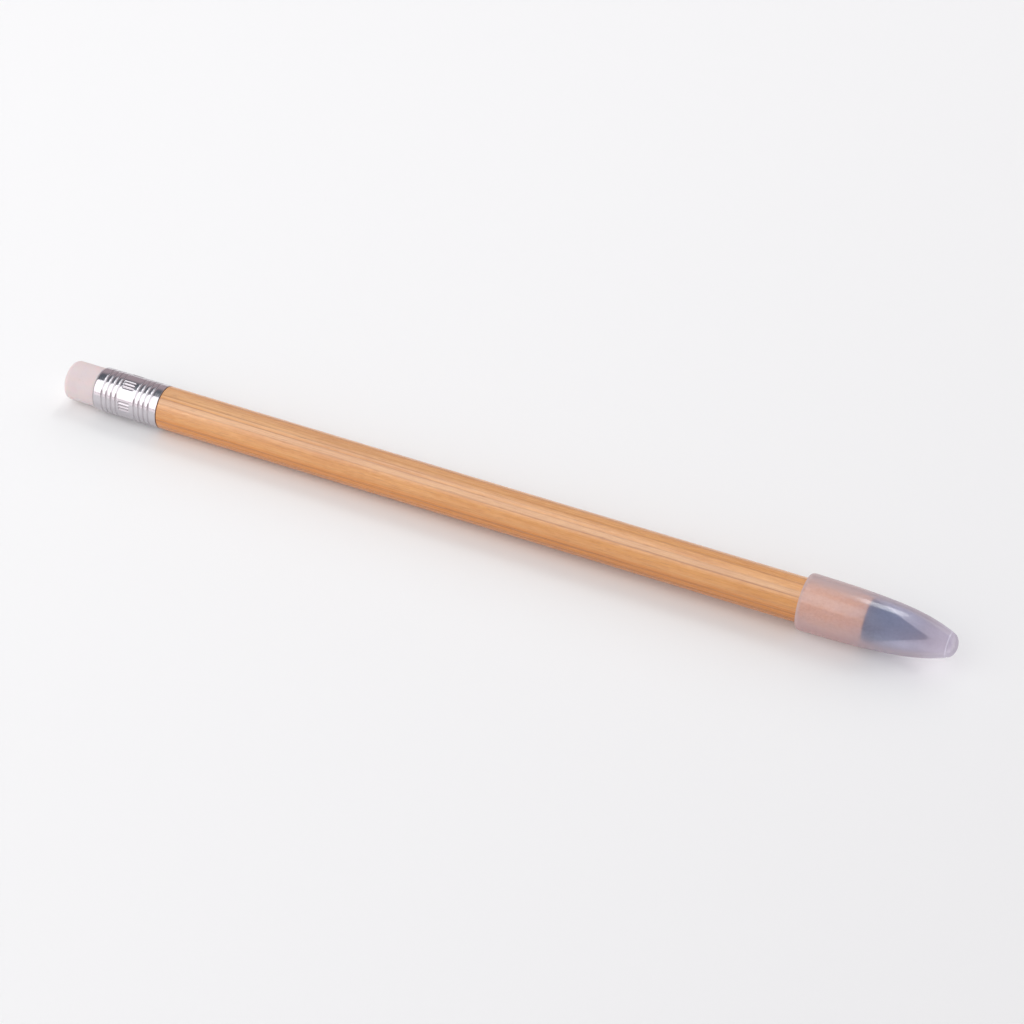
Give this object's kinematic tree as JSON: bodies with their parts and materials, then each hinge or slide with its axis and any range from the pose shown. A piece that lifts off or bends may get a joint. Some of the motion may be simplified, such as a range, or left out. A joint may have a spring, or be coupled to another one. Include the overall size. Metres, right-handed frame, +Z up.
{
  "type": "inkless pencil",
  "caption": "Round wooden pencil with a crimped metal ferrule and rubber eraser at one end, a graphite writing cone at the other, and a see-through push-on cap.",
  "frame": {"origin": "middle of the capped pencil's length, on the surface that it lies on", "axes": "+X along the pencil towards the writing tip and the cap's nose, +Z up"},
  "size_m": [0.1612, 0.0094, 0.0095],
  "materials": {
    "lacquered_wood": "natural straight-grained wood under a thin satin lacquer",
    "bright_aluminium": "bright rolled sheet",
    "pink_rubber": "matt pale pink",
    "graphite": "dull polished graphite alloy",
    "white_plastic": "plain moulded",
    "frosted_plastic": "frosted see-through, faintly lilac"
  },
  "bodies": {
    "pencil": {"barrel": "lacquered_wood", "ferrule": "bright_aluminium", "eraser": "pink_rubber", "writing_tip": "graphite", "tip_stem": "white_plastic"},
    "cap": {"cap": "frosted_plastic"}
  },
  "joints": [
    {"name": "cap_slide", "type": "slide", "parent": "pencil", "child": "cap", "axis": [1, 0, 0], "range_m": [0, 0.026]}
  ]
}
